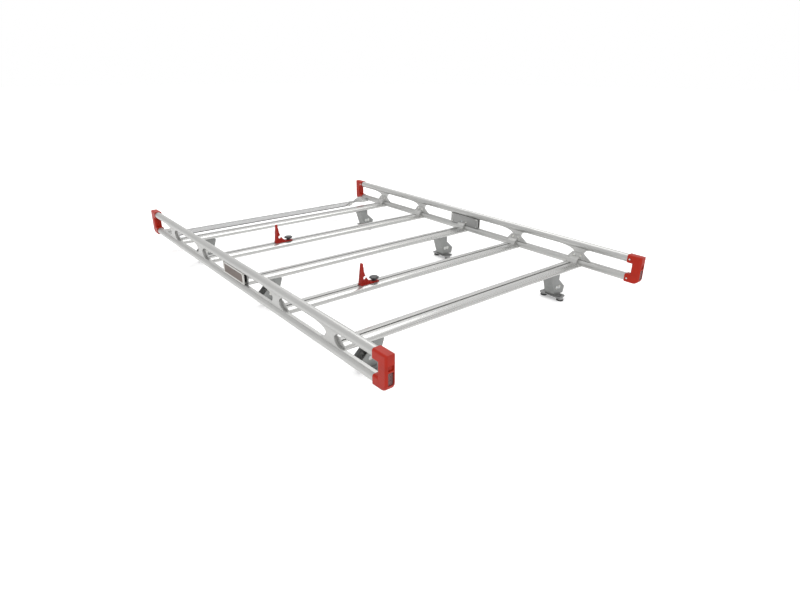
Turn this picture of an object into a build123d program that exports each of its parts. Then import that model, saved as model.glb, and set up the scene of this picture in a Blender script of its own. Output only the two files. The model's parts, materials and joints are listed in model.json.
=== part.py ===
from build123d import *
import os
from math import atan2, cos, degrees, sin

# Roof ladder rack for a van: two windowed side rails, five slotted crossbars on six feet,
# a wind deflector at the front and two sliding load stops.  Millimetres.
# +X points to the right-hand rail, +Y to the front of the vehicle, +Z up.  Z = 0 is the
# underside of the roof pads, and X = Y = 0 is under the middle of the middle crossbar.

os.makedirs("parts", exist_ok=True)

# ---------------------------------------------------------------- overall layout
rack_length = 2666.0        # rear end caps to the deflector's leading edge
rail_spacing = 1700.0       # between the middle planes of the side rails
bar_count = 5
bar_pitch = 463.0
deflector_reach = 50.0      # deflector's leading edge ahead of the front end caps
bar_top_above_axis = 3.0    # crossbar top above the lower rail tube's axis

# ---------------------------------------------------------------- side rails
tube_diameter = 42.0
tube_wall = 2.5
tube_spacing = 107.5        # lower tube axis to upper tube axis
web_thickness = 15.0
web_fillet = 2.0
window_land = 0.5           # flat left along each tube at a window
window_rear_reach_high = 110.0
window_rear_reach_low = 55.0
window_rear_tip = 37.0      # height of the rear tip above the window's sill
window_front_reach = 50.0
pillar_rear = 48.0          # pillar's rear edge, behind the crossbar's middle
pillar_front = 14.0         # pillar's front edge, ahead of the crossbar's middle

# ---------------------------------------------------------------- crossbars
bar_length = 1620.0
bar_depth = 104.0
bar_thickness = 30.0
bar_wall = 2.5
bar_top_flat = 32.0
bar_bottom_flat = 60.0
slot_mouth = 10.0
slot_lip = 3.0
slot_width = 20.0
slot_depth = 8.0            # of the wide part, under the lips

# ---------------------------------------------------------------- fasteners
bolt_radius = 4.0
bolt_head_radius = 7.0
bolt_head_height = 4.4
hex_key = 5.0
bolt_head_dome = 2.6        # of the head's height
hex_key_depth = 2.6
nut_flats = 13.0
nut_height = 6.5
hole_clearance = 0.5
thread_clearance = 0.05     # bolt in a nut or a tapped hole, radially
thread_depth = 10.0         # bolt's grip in a tapped hole
thread_run_out = 2.0        # hole past the bolt's end
bolt_tail = 1.5             # thread standing out of a nut

# ---------------------------------------------------------------- crossbar end fittings
neck_width = 60.0           # casting between the crossbar's end and the plate
neck_heel = 10.0            # neck below the tube's axis
fitting_plate = 4.0
fitting_plate_height = 38.0
fitting_plate_rear = 112.0
fitting_plate_front = 54.0
fitting_plate_lap = 8.0     # plate past the pillar's edges at its top
tongue_reach = 66.0         # tongue inside the crossbar
tongue_fit = 0.3            # tongue to the crossbar's chamber, all round
tongue_root = 4.0           # tongue past the crossbar's end, into the casting
saddle_gap = 0.3            # cast saddle to the rail's tube
web_bolt_height = 22.0      # above the window's sill
web_bolt_rear = 36.0
web_bolt_front = 4.0
tongue_bolt_inset = 20.0
tongue_bolt_pitch = 32.0
plate_edge_radius = 4.0
fitting_slope = 9.0         # casting's top slopes up to the plate
fitting_rise = 14.0         # top of the casting above the window's sill

# ---------------------------------------------------------------- feet
foot_rows = (0, 2, 4)       # crossbars that stand on feet
foot_height = 131.0         # foot base's underside to the crossbar's underside
foot_inner = 590.0          # from the middle of the rack, at the top
foot_top = 74.0             # length of the top flange, along the crossbar
foot_lean = 42.0            # inner wall's lean outwards, top to bottom
foot_width = 66.0
foot_plate = 5.0
foot_shoulder = 54.0        # outward swell of the side walls
foot_shoulder_drop = 86.0   # swell's widest place below the crossbar
foot_neck = 36.0            # straight part of the side walls' outer edge
foot_bend = 9.0             # outside radius where the inner wall meets the top flange
foot_hem = 10.0             # side walls' lower outer corner, inside the swell
foot_bolt_shift = 0.0       # bolts outwards from the top flange's middle
foot_clear = 2.0            # bracket above its base plate
base_plate = 5.0
base_reach = 66.0           # base plate, along the crossbar
base_width = 140.0
base_corner = 16.0
base_lap = 8.0              # base plate inwards past the bracket's inner wall
ear_height = 56.0
ear_thickness = 5.0
ear_wall_gap = 1.0          # ears outwards from the bracket's inner wall, at its foot
ear_reach = 38.0
stud_pitch = 112.0          # roof bolts, along the vehicle
roof_hole_radius = 4.5
collar_radius = 17.0
collar_height = 14.0
pad_radius = 20.0
pad_thickness = 8.0
foot_slot_length = 22.0
foot_slot_pitch = 22.0
foot_slot_height = 44.0     # slots above the bracket's lower edge
foot_bolt_pitch = 34.0

# ---------------------------------------------------------------- end caps
cap_back = 53.0
cap_arm = 29.0
cap_skin = 2.2              # cap outside the tube
cap_top_corner = 45.0
cap_low_corner = 34.0
cap_edge = 10.0
cap_face_wall = 10.0        # cap's end, in front of its hollow
cap_end_wall = 26.0         # cap beyond the rail's end
cap_tube_gap = 0.15
stub_length = 58.0          # rail end trimmed round for the cap
cap_cavity_wall = 4.0
recess_depth = 5.0
recess_corner = 4.0
recess_width = 26.0
pocket_height = 22.0
recess_rib = 6.0
reflector_height = 54.0
reflector_bottom = 27.0     # reflector above the cap's underside
reflector_thickness = 3.0
reflector_gap = 0.2
cap_screw_radius = 2.4
cap_screw_head = 4.6
cap_screw_height = 2.2
cap_screw_length = 14.0
cap_screw_fit = 0.05        # screw to cap and to tube, radially
cap_screw_inset = 15.0      # from the arm's open end

# ---------------------------------------------------------------- nameplates
plate_length = 256.0
plate_thickness = 4.0
plate_corner = 3.0
plate_trim = 0.6            # all round, inside the tubes
panel_border = 9.0
panel_depth = 1.6
panel_gap = 0.15
rivet_radius = 2.4
rivet_head = 4.5
rivet_head_height = 1.8
rivet_inset = 12.0
rivet_rise = 8.0            # below the plate's top edge, and above its lower one
rivet_fit = 0.05
back_thickness = 7.0
back_gap = 1.0              # backing plate round the fitting
back_relief = 0.3           # pocket deeper than the fitting's plate
back_bolt_gap = 1.0         # hole round a bolt's head

# ---------------------------------------------------------------- wind deflector
deflector_length = 1572.0
deflector_sheet = 3.0
deflector_top_drop = 39.0   # top edge below the lower tube's axis
deflector_drop = 52.0       # top edge to leading edge
deflector_run = 82.0        # top edge to leading edge, forwards
deflector_hem = 7.0         # upstand along the rear edge
deflector_hem_lean = 2.0
edge_trim_radius = 5.0
arm_thickness = 6.0
arm_length = 60.0
arm_inset = 54.0            # arm's flange under the deflector, inwards
arm_gap = 8.0               # arm's cheek beyond the deflector's end
arm_flange_margin = 4.0
arm_bolt_margin = 14.0
arm_cap_gap = 4.0           # arm behind the front end cap
arm_rise = 8.0              # arm's top above the lower tube's axis
arm_top_cut = 4.0           # arm's top, short of the tube's side
arm_neck = 6.0              # cheek's bend, ahead of the deflector's rear edge
arm_neck_rise = 18.0

# ---------------------------------------------------------------- load stops
stop_rows = (1, 3)
stop_x = -373.0             # load face at rest
stop_lift = 0.3             # running gap above the crossbar
stop_height = 116.0
stop_lean = 14.0            # load face's lean, bottom to top
stop_face_width = 22.0
stop_face_thickness = 6.0
stop_tip = 4.0              # radius along the face's top
stop_web = 9.0
stop_web_reach = 60.0
stop_web_top = 104.0        # where the fin leaves the face
stop_web_waist = (26.0, 84.0)   # from the foot of the load face: scoop above, bulge below
stop_scoop = 3.0
stop_bulge = 7.0
stop_corner = 3.0
stop_base_length = 116.0
stop_base_width = 34.0
stop_base_thickness = 6.0
stop_block_reach = 64.0
stop_block_height = 13.0
stop_hole_radius = 10.0
stop_hole_x = 33.0
stop_hole_z = 34.0
knob_x = 94.0               # clamp axis from the load face
knob_radius = 27.0
knob_thickness = 11.0
knob_stem_radius = 12.0
knob_stem_height = 11.0
knob_gap = 0.3
knob_flutes = 8
knob_flute_radius = 6.0
knob_flute_offset = 2.7     # flute centres beyond the knob's edge
knob_edge = 2.0
knob_bore_clearance = 0.05
knob_bore_depth = 15.0
clamp_stud_clearance = 0.6
clamp_stud_end_gap = 2.0    # above the stud, in the knob's bore
tee_nut_length = 36.0
tee_nut_clearance = 0.5     # all round in the slot

# ---------------------------------------------------------------- derived places
rail_x = rail_spacing / 2
tube_radius = tube_diameter / 2
cap_width = tube_diameter + 2 * cap_skin
web_face = web_thickness / 2
base_z = pad_thickness + collar_height
bar_bottom_z = base_z + foot_height
bar_top_z = bar_bottom_z + bar_thickness
rail_axis_z = bar_top_z - bar_top_above_axis
bar_end = bar_length / 2
bar_core = slot_width + 2 * bar_wall
slot_floor = slot_lip + slot_depth
bar_y = [(row - (bar_count - 1) / 2) * bar_pitch for row in range(bar_count)]
rear_face_y = -rack_length / 2
front_face_y = rack_length / 2 - deflector_reach
rail_rear_y = rear_face_y + cap_end_wall
rail_front_y = front_face_y - cap_end_wall
rail_length = rail_front_y - rail_rear_y
sill = tube_radius + window_land            # window's lower edge above the lower axis
lintel = tube_spacing - sill                # window's upper edge above the lower axis
window_height = lintel - sill
bolt_hole_radius = bolt_radius + hole_clearance
thread_radius = bolt_radius + thread_clearance
fitting_inset = rail_x - bar_end            # crossbar's end to the rail's middle plane
web_bolt_z = rail_axis_z + sill + web_bolt_height
tongue_bolt_x = [bar_end - tongue_bolt_inset - step * tongue_bolt_pitch for step in range(2)]
chamber_height = bar_thickness - slot_floor - 2 * bar_wall
chamber_drop = (slot_floor + bar_thickness) / 2     # chamber's middle below the crossbar's top
foot_bolt_x = [foot_inner + foot_top / 2 + foot_bolt_shift + step * foot_bolt_pitch / 2 for step in (-1, 1)]
foot_x = foot_inner + foot_lean + base_reach / 2 - base_lap
wall_stretch = (1 + (foot_lean / (foot_height - base_plate - foot_clear)) ** 2) ** 0.5
ear_x = foot_inner + foot_lean + foot_plate * wall_stretch + ear_wall_gap + ear_reach / 2
stop_z = bar_top_z + stop_lift
row_names = ("rear", "second", "middle", "fourth", "front")
side_names = {-1: "left", 1: "right"}


def save(piece, label):
    """Label a finished piece and write it."""
    piece.part.label = label
    export_step(piece.part, f"parts/{label}.step")


def facing(point, direction):
    """Location whose own +Z points along direction."""
    return Plane(origin=point, z_dir=direction).location


# ================================================================ side rails
def cap_screw_places(side, end):
    """Heads of the screws that hold one cap to the rail's tubes, on its inner side."""
    face_y = rear_face_y if end < 0 else front_face_y
    y = face_y - end * (cap_back + cap_arm - cap_screw_inset)
    return [(side * (rail_x - cap_width / 2), y, rail_axis_z + rise) for rise in (0, tube_spacing)]


def window_outline(rear_y, front_y):
    """Face of one window in the rail's side view: long and low at the rear, round in front."""
    middle = (sill + lintel) / 2
    rear_tip = sill + window_rear_tip
    low_y = rear_y + window_rear_reach_low
    high_y = rear_y + window_rear_reach_high
    end_y = front_y - window_front_reach
    Line((low_y, sill), (end_y, sill))
    EllipticalCenterArc((end_y, middle), window_front_reach, window_height / 2, -90,
                        arc_size=180)
    Line((end_y, lintel), (high_y, lintel))
    EllipticalCenterArc((high_y, rear_tip), window_rear_reach_high, lintel - rear_tip, 90,
                        arc_size=90)
    EllipticalCenterArc((low_y, rear_tip), window_rear_reach_low, rear_tip - sill, 180,
                        arc_size=90)


def window_spans():
    """Rear and front tip of every window; the first and last run out past the rail's ends."""
    fronts = [y - pillar_rear for y in bar_y]
    rears = [y + pillar_front for y in bar_y]
    first_rear = rail_rear_y - 2 * window_rear_reach_high
    last_front = rail_front_y + 2 * window_front_reach
    return list(zip([first_rear] + rears, fronts + [last_front]))


def make_rail(side):
    """Extrusion of two tubes and a flat web, with the windows cut through."""
    with BuildPart() as rail:
        end_plane = Plane(origin=(side * rail_x, rail_front_y, rail_axis_z), z_dir=(0, -1, 0),
                          x_dir=(1, 0, 0))
        with BuildSketch(end_plane) as section:
            with Locations((0, 0), (0, tube_spacing)):
                Circle(tube_radius)
            with Locations((0, tube_spacing / 2)):
                Rectangle(web_thickness, tube_spacing)
            corners = section.vertices().filter_by(lambda v: abs(abs(v.X) - web_face) < 0.01)
            fillet(corners, radius=web_fillet)
            with Locations((0, 0), (0, tube_spacing)):
                Circle(tube_radius - tube_wall, mode=Mode.SUBTRACT)
        extrude(amount=rail_length)
        side_plane = Plane(origin=(side * rail_x, 0, rail_axis_z), z_dir=(1, 0, 0),
                           x_dir=(0, 1, 0))
        with BuildSketch(side_plane):
            for rear_y, front_y in window_spans():
                with BuildLine():
                    window_outline(rear_y, front_y)
                make_face()
        extrude(amount=web_thickness, both=True, mode=Mode.SUBTRACT)
        for end_y in (rail_front_y, rail_rear_y + stub_length):
            stub_plane = Plane(origin=(side * rail_x, end_y, rail_axis_z), z_dir=(0, -1, 0),
                               x_dir=(1, 0, 0))
            with BuildSketch(stub_plane):
                with Locations((0, tube_spacing / 2)):
                    Rectangle(2 * web_thickness, tube_spacing - tube_radius)
                with Locations((0, 0), (0, tube_spacing)):
                    Circle(tube_radius, mode=Mode.SUBTRACT)
            extrude(amount=stub_length, mode=Mode.SUBTRACT)
        with Locations([facing(point, (-side, 0, 0)) for end in (-1, 1)
                        for point in cap_screw_places(side, end)]):
            Cylinder(cap_screw_radius, cap_width / 2, mode=Mode.SUBTRACT,
                     align=(Align.CENTER, Align.CENTER, Align.MAX))
        web_points = [(side * (rail_x - web_face), y + shift, web_bolt_z) for y in bar_y
                      for shift in (-web_bolt_rear, web_bolt_front)]
        with Locations([facing(point, (-side, 0, 0)) for point in web_points]):
            Cylinder(thread_radius, thread_depth + thread_run_out, mode=Mode.SUBTRACT,
                     align=(Align.CENTER, Align.CENTER, Align.MAX))
    return rail


for side, side_name in side_names.items():
    save(make_rail(side), f"{side_name}_rail")


# ================================================================ crossbars
def bar_outline(inset):
    """Wing-shaped outline of the crossbar, drawn inset from its outer surface."""
    nose = bar_depth / 2
    half = bar_thickness / 2
    Line((0, -inset), (bar_top_flat / 2, -inset))
    EllipticalCenterArc((bar_top_flat / 2, -half), nose - bar_top_flat / 2 - inset,
                        half - inset, 0, arc_size=90)
    EllipticalCenterArc((bar_bottom_flat / 2, -half), nose - bar_bottom_flat / 2 - inset,
                        half - inset, 270, arc_size=90)
    Line((bar_bottom_flat / 2, inset - bar_thickness), (0, inset - bar_thickness))
    mirror(about=Plane.YZ)


def bolt_points_under(row):
    """Places of the bolts that come up into one crossbar."""
    places = list(tongue_bolt_x)
    if row in foot_rows:
        places += foot_bolt_x
    return [(side * x, bar_y[row]) for side in side_names for x in places]


def make_crossbar(row):
    """Hollow extrusion with a T-slot along its top."""
    with BuildPart() as crossbar:
        end_plane = Plane(origin=(-bar_end, bar_y[row], bar_top_z), z_dir=(1, 0, 0),
                          x_dir=(0, 1, 0))
        with BuildSketch(end_plane):
            with BuildLine():
                bar_outline(0)
            make_face()
            with BuildLine():
                bar_outline(bar_wall)
            make_face(mode=Mode.SUBTRACT)
            with Locations((0, -bar_thickness / 2)):
                Rectangle(bar_core, bar_thickness)
            with Locations((0, -slot_lip / 2)):
                Rectangle(slot_mouth, slot_lip, mode=Mode.SUBTRACT)
            with Locations((0, -slot_lip - slot_depth / 2)):
                Rectangle(slot_width, slot_depth, mode=Mode.SUBTRACT)
            with Locations((0, -chamber_drop)):
                Rectangle(slot_width, chamber_height, mode=Mode.SUBTRACT)
        extrude(amount=bar_length)
        with BuildSketch(Plane.XY.offset(bar_bottom_z)):
            with Locations(bolt_points_under(row)):
                Circle(bolt_hole_radius)
        extrude(amount=2 * bar_wall, mode=Mode.SUBTRACT)
    return crossbar


for row, row_name in enumerate(row_names):
    save(make_crossbar(row), f"{row_name}_crossbar")


# ================================================================ crossbar end fittings
def plate_corners(margin):
    """Corners of the fitting's plate on the web, seen from the side and grown by margin."""
    low_rear = -fitting_plate_rear - margin
    high_rear = -pillar_rear - fitting_plate_lap - margin
    high_front = pillar_front + fitting_plate_lap + margin
    low_front = fitting_plate_front + margin
    top = sill + fitting_plate_height + margin
    return [(low_rear, sill), (high_rear, top), (high_front, top), (low_front, sill)]


def make_fitting(side, y):
    """Cast end fitting: the crossbar's shape up to the tube, a neck and a plate on the web."""
    inner = fitting_inset
    plate_face = web_face + fitting_plate
    sill_step = web_face + web_fillet
    with BuildPart() as fitting:
        bar_plane = Plane(origin=(side * bar_end, y, bar_top_z), x_dir=(0, side, 0),
                          z_dir=(side, 0, 0))
        with BuildSketch(bar_plane):
            with BuildLine():
                bar_outline(0)
            make_face()
        extrude(amount=fitting_inset)
        across = Plane(origin=(side * rail_x, y, rail_axis_z), x_dir=(-side, 0, 0),
                       z_dir=(0, side, 0))
        with BuildSketch(across):
            with BuildLine():
                Polyline((inner, -neck_heel), (inner, bar_top_above_axis),
                         (inner - fitting_slope, sill), (plate_face, sill + fitting_rise),
                         (web_face, sill + fitting_rise), (web_face, sill), (sill_step, sill),
                         (sill_step, -neck_heel), close=True)
            make_face()
        extrude(amount=neck_width / 2, both=True)
        with BuildSketch(across):
            Circle(tube_radius + saddle_gap)
        extrude(amount=bar_depth, both=True, mode=Mode.SUBTRACT)
        upright = Plane(origin=(side * (rail_x - web_face), y, rail_axis_z),
                        x_dir=(0, 1, 0), z_dir=(1, 0, 0))
        with BuildSketch(upright):
            with BuildLine():
                Polyline(*plate_corners(0), close=True)
            plate = make_face()
            fillet(plate.vertices(), radius=plate_edge_radius)
        extrude(amount=-side * fitting_plate)
        tongue_plane = Plane(origin=(side * (bar_end + tongue_root), y, bar_top_z),
                             x_dir=(0, side, 0), z_dir=(side, 0, 0))
        with BuildSketch(tongue_plane):
            with Locations((0, -chamber_drop)):
                Rectangle(slot_width - 2 * tongue_fit, chamber_height - 2 * tongue_fit)
        extrude(amount=-tongue_reach - tongue_root)
        holes = [(side * (rail_x - web_face), y + shift, web_bolt_z)
                 for shift in (-web_bolt_rear, web_bolt_front)]
        with Locations([facing(point, (-side, 0, 0)) for point in holes]):
            Cylinder(bolt_hole_radius, fitting_plate, mode=Mode.SUBTRACT,
                     align=(Align.CENTER, Align.CENTER, Align.MIN))
        with Locations([(side * x, y, bar_bottom_z) for x in tongue_bolt_x]):
            Cylinder(thread_radius, bar_wall + thread_depth + thread_run_out / 2,
                     mode=Mode.SUBTRACT, align=(Align.CENTER, Align.CENTER, Align.MIN))
    return fitting


for row, row_name in enumerate(row_names):
    for side, side_name in side_names.items():
        save(make_fitting(side, bar_y[row]), f"{row_name}_bar_fitting_{side_name}")


# ================================================================ feet
def foot_profile(offset):
    """Side wall of the foot bracket, moved in by offset; the origin is its inner top corner."""
    bottom = -(foot_height - base_plate - foot_clear)
    lean_per_drop = -foot_lean / bottom
    top_right = foot_top
    low_left = (offset + foot_lean, bottom)
    return [(offset + offset * lean_per_drop, -offset), (top_right, -offset),
            (top_right, -foot_neck), (foot_top + foot_shoulder, -foot_shoulder_drop),
            (foot_top + foot_shoulder - foot_hem, bottom), low_left]


def make_foot_bracket(side, y):
    """Leaning channel, open on its outer side, with a top flange bolted under the crossbar."""
    bottom = base_z + base_plate + foot_clear
    across = Plane(origin=(side * foot_inner, y, bar_bottom_z), x_dir=(side, 0, 0),
                   z_dir=(0, -side, 0))
    with BuildPart() as bracket:
        with BuildSketch(across):
            with BuildLine():
                Polyline(*foot_profile(0), close=True)
            make_face()
        extrude(amount=foot_width / 2, both=True)
        bend = bracket.edges().filter_by(Axis.Y).group_by(Axis.Z)[-1].sort_by(Axis.X)
        fillet(bend[0 if side > 0 else -1], radius=foot_bend)
        inner_corner = foot_profile(foot_plate)
        with BuildSketch(across):
            with BuildLine():
                Polyline(inner_corner[0], (foot_top + 2 * foot_shoulder, -foot_plate),
                         (foot_top + 2 * foot_shoulder, inner_corner[-1][1] - 1),
                         (inner_corner[-1][0], inner_corner[-1][1] - 1), inner_corner[-1],
                         close=True)
            make_face()
        extrude(amount=foot_width / 2 - foot_plate, both=True, mode=Mode.SUBTRACT)
        with BuildSketch(Plane.XY.offset(bar_bottom_z)):
            with Locations([(side * x, y) for x in foot_bolt_x]):
                Circle(bolt_hole_radius)
        extrude(amount=-foot_plate, mode=Mode.SUBTRACT)
        slot_plane = Plane(origin=(side * ear_x, y, bottom + foot_slot_height),
                           x_dir=(side, 0, 0), z_dir=(0, -side, 0))
        with BuildSketch(slot_plane):
            with GridLocations(foot_slot_pitch, 0, 2, 1):
                SlotOverall(foot_slot_length, 2 * bolt_hole_radius, rotation=90)
        extrude(amount=foot_width, both=True, mode=Mode.SUBTRACT)
    return bracket


def make_foot_base(side, y):
    """Base plate on two roof bolts, with two ears inside the bracket's side walls."""
    with BuildPart() as base:
        with BuildSketch(Plane.XY.offset(base_z)):
            with Locations((side * foot_x, y)):
                RectangleRounded(base_reach, base_width, base_corner)
            with Locations([(side * foot_x, y + end * stud_pitch / 2) for end in (-1, 1)]):
                Circle(roof_hole_radius, mode=Mode.SUBTRACT)
        extrude(amount=base_plate)
        ear_y = foot_width / 2 - foot_plate
        for end in (-1, 1):
            ear_plane = Plane(origin=(side * ear_x, y + end * ear_y, base_z + base_plate),
                              x_dir=(1, 0, 0), z_dir=(0, -1, 0))
            with BuildSketch(ear_plane):
                with Locations((0, ear_height / 2)):
                    Rectangle(ear_reach, ear_height)
                with Locations((0, foot_clear + foot_slot_height)):
                    with GridLocations(foot_slot_pitch, 0, 2, 1):
                        Circle(bolt_hole_radius, mode=Mode.SUBTRACT)
            extrude(amount=end * ear_thickness)
    return base


feet = [(side, row) for row in foot_rows for side in side_names]
for side, row in feet:
    foot_name = f"{row_names[row]}_{side_names[side]}"
    save(make_foot_bracket(side, bar_y[row]), f"{foot_name}_foot_bracket")
    save(make_foot_base(side, bar_y[row]), f"{foot_name}_foot_base")

roof_bolt_points = [(side * foot_x, bar_y[row] + end * stud_pitch / 2)
                    for side, row in feet for end in (-1, 1)]

with BuildPart() as roof_pads:
    with BuildSketch():
        with Locations(roof_bolt_points):
            Circle(pad_radius)
            Circle(roof_hole_radius, mode=Mode.SUBTRACT)
    extrude(amount=pad_thickness)
save(roof_pads, "roof_pads")

with BuildPart() as roof_collars:
    with BuildSketch(Plane.XY.offset(pad_thickness)):
        with Locations(roof_bolt_points):
            Circle(collar_radius)
            Circle(roof_hole_radius, mode=Mode.SUBTRACT)
    extrude(amount=collar_height)
save(roof_collars, "roof_collars")


# ================================================================ end caps
def make_cap(side, end):
    """Moulded C that closes a rail's end; end is -1 at the rear and 1 at the front."""
    face_y = rear_face_y if end < 0 else front_face_y
    half_height = tube_spacing / 2 + tube_radius + cap_skin
    mouth = tube_spacing / 2 - tube_radius - cap_skin
    middle_z = rail_axis_z + tube_spacing / 2
    with BuildPart() as cap:
        side_plane = Plane(origin=(side * rail_x, face_y, middle_z), x_dir=(0, -end, 0),
                           z_dir=(-end, 0, 0))
        with BuildSketch(side_plane):
            with BuildLine():
                Polyline((0, -half_height), (cap_back + cap_arm, -half_height),
                         (cap_back + cap_arm, -mouth), (cap_back, -mouth), (cap_back, mouth),
                         (cap_back + cap_arm, mouth), (cap_back + cap_arm, half_height),
                         (0, half_height), close=True)
            body = make_face()
            outer = body.vertices().filter_by(lambda v: abs(v.X) < 0.01).sort_by(Axis.Y)
            fillet(outer[0], radius=cap_low_corner)
            fillet(outer[-1], radius=cap_top_corner)
        extrude(amount=cap_width / 2, both=True)
        arm_end_y = face_y - end * (cap_back + cap_arm)
        rim = cap.faces().filter_by(Axis.X).edges()
        fillet(rim.filter_by(lambda edge: abs(edge.center().Y - arm_end_y) > 0.01),
               radius=cap_edge)
        tube_plane = Plane(origin=(side * rail_x, face_y - end * cap_end_wall, rail_axis_z),
                           x_dir=(end, 0, 0), z_dir=(0, -end, 0))
        with BuildSketch(tube_plane):
            with Locations((0, 0), (0, tube_spacing)):
                Circle(tube_radius + cap_tube_gap)
        extrude(amount=cap_back + cap_arm, mode=Mode.SUBTRACT)
        for reach in (cap_back - cap_end_wall - cap_cavity_wall, cap_face_wall - cap_end_wall):
            with BuildSketch(tube_plane):
                with Locations((0, tube_spacing / 2)):
                    Rectangle(cap_width - 2 * cap_edge, tube_spacing)
            extrude(amount=reach, mode=Mode.SUBTRACT)
        if end < 0:
            with BuildSketch(Plane(origin=(side * rail_x, face_y, middle_z - half_height),
                                   x_dir=(1, 0, 0), z_dir=(0, -1, 0))):
                with Locations((0, reflector_bottom + reflector_height / 2)):
                    RectangleRounded(recess_width, reflector_height, recess_corner)
                with Locations((0, reflector_bottom + reflector_height + recess_rib
                                + pocket_height / 2)):
                    RectangleRounded(recess_width, pocket_height, recess_corner)
            extrude(amount=-recess_depth, mode=Mode.SUBTRACT)
        screw_points = cap_screw_places(side, end)
        with Locations([facing(point, (-side, 0, 0)) for point in screw_points]):
            Cylinder(cap_screw_radius, cap_width / 2, mode=Mode.SUBTRACT,
                     align=(Align.CENTER, Align.CENTER, Align.MAX))
    return cap


for end, end_name in ((-1, "rear"), (1, "front")):
    for side, side_name in side_names.items():
        save(make_cap(side, end), f"{end_name}_{side_name}_end_cap")

for side, side_name in side_names.items():
    reflector_z = rail_axis_z - tube_radius - cap_skin + reflector_bottom + reflector_height / 2
    with BuildPart() as reflector:
        with BuildSketch(Plane(origin=(side * rail_x, rear_face_y + recess_depth, reflector_z),
                               x_dir=(1, 0, 0), z_dir=(0, -1, 0))):
            RectangleRounded(recess_width - 2 * reflector_gap,
                             reflector_height - 2 * reflector_gap, recess_corner - reflector_gap)
        extrude(amount=reflector_thickness)
    save(reflector, f"{side_name}_reflector")

with BuildPart() as cap_screws:
    heads = [point for side in side_names for end in (-1, 1)
             for point in cap_screw_places(side, end)]
    with Locations([facing(point, (-point[0], 0, 0)) for point in heads]):
        Cylinder(cap_screw_head, cap_screw_height, align=(Align.CENTER, Align.CENTER, Align.MIN))
        Cylinder(cap_screw_radius - cap_screw_fit, cap_screw_length,
                 align=(Align.CENTER, Align.CENTER, Align.MAX))
save(cap_screws, "cap_screws")


# ================================================================ nameplates
plate_height = window_height - 2 * plate_trim
plate_y = bar_y[2] + (pillar_front - pillar_rear) / 2
plate_z = rail_axis_z + tube_spacing / 2
rivet_points = [(plate_y + along * (plate_length / 2 - rivet_inset),
                 plate_z + up * (plate_height / 2 - rivet_rise))
                for along in (-1, 1) for up in (-1, 1)]
panel_height = plate_height - 2 * panel_border
panel_length = plate_length - 4 * panel_border


def make_nameplate(side):
    """Plate on the web's outer face, recessed for a plain panel."""
    with BuildPart() as plate:
        face = Plane(origin=(side * (rail_x + web_face), plate_y, plate_z), x_dir=(0, 1, 0),
                     z_dir=(1, 0, 0))
        with BuildSketch(face):
            RectangleRounded(plate_length, plate_height, plate_corner)
        extrude(amount=side * plate_thickness)
        outer = Plane(origin=(side * (rail_x + web_face + plate_thickness), plate_y, plate_z),
                      x_dir=(0, 1, 0), z_dir=(1, 0, 0))
        with BuildSketch(outer):
            RectangleRounded(panel_length, panel_height, plate_corner)
        extrude(amount=-side * panel_depth, mode=Mode.SUBTRACT)
        with Locations([facing((side * (rail_x + web_face), y, z), (side, 0, 0))
                        for y, z in rivet_points]):
            Cylinder(rivet_radius, plate_thickness, mode=Mode.SUBTRACT,
                     align=(Align.CENTER, Align.CENTER, Align.MIN))
    return plate


def make_nameplate_panel(side):
    """Plain panel let into the nameplate."""
    floor_x = rail_x + web_face + plate_thickness - panel_depth
    with BuildPart() as panel:
        with BuildSketch(Plane(origin=(side * floor_x, plate_y, plate_z), x_dir=(0, 1, 0),
                               z_dir=(1, 0, 0))):
            RectangleRounded(panel_length - 2 * panel_gap, panel_height - 2 * panel_gap,
                             plate_corner - panel_gap)
        extrude(amount=side * panel_depth)
    return panel


def make_nameplate_back(side):
    """Backing plate on the web's inner face, hollowed over the crossbar's end fitting."""
    with BuildPart() as back:
        face = Plane(origin=(side * (rail_x - web_face), plate_y, plate_z), x_dir=(0, 1, 0),
                     z_dir=(1, 0, 0))
        with BuildSketch(face):
            RectangleRounded(plate_length, plate_height, plate_corner)
            with Locations((bar_y[2] - plate_y, -plate_height / 2)):
                Rectangle(neck_width + 2 * back_gap, 2 * (fitting_rise + back_gap),
                          mode=Mode.SUBTRACT)
        extrude(amount=-side * back_thickness)
        upright = Plane(origin=(side * (rail_x - web_face), bar_y[2], rail_axis_z),
                        x_dir=(0, 1, 0), z_dir=(1, 0, 0))
        with BuildSketch(upright):
            with BuildLine():
                Polyline(*plate_corners(back_gap), close=True)
            plate = make_face()
            fillet(plate.vertices(), radius=plate_edge_radius)
        extrude(amount=-side * (fitting_plate + back_relief), mode=Mode.SUBTRACT)
        heads = [(side * (rail_x - web_face), bar_y[2] + shift, web_bolt_z)
                 for shift in (-web_bolt_rear, web_bolt_front)]
        with Locations([facing(point, (-side, 0, 0)) for point in heads]):
            Cylinder(bolt_head_radius + back_bolt_gap, back_thickness, mode=Mode.SUBTRACT,
                     align=(Align.CENTER, Align.CENTER, Align.MIN))
        with Locations([facing((side * (rail_x - web_face), y, z), (-side, 0, 0))
                        for y, z in rivet_points]):
            Cylinder(rivet_radius, back_thickness, mode=Mode.SUBTRACT,
                     align=(Align.CENTER, Align.CENTER, Align.MIN))
    return back


for side, side_name in side_names.items():
    save(make_nameplate(side), f"{side_name}_nameplate")
    save(make_nameplate_panel(side), f"{side_name}_nameplate_panel")
    save(make_nameplate_back(side), f"{side_name}_nameplate_back")

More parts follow.
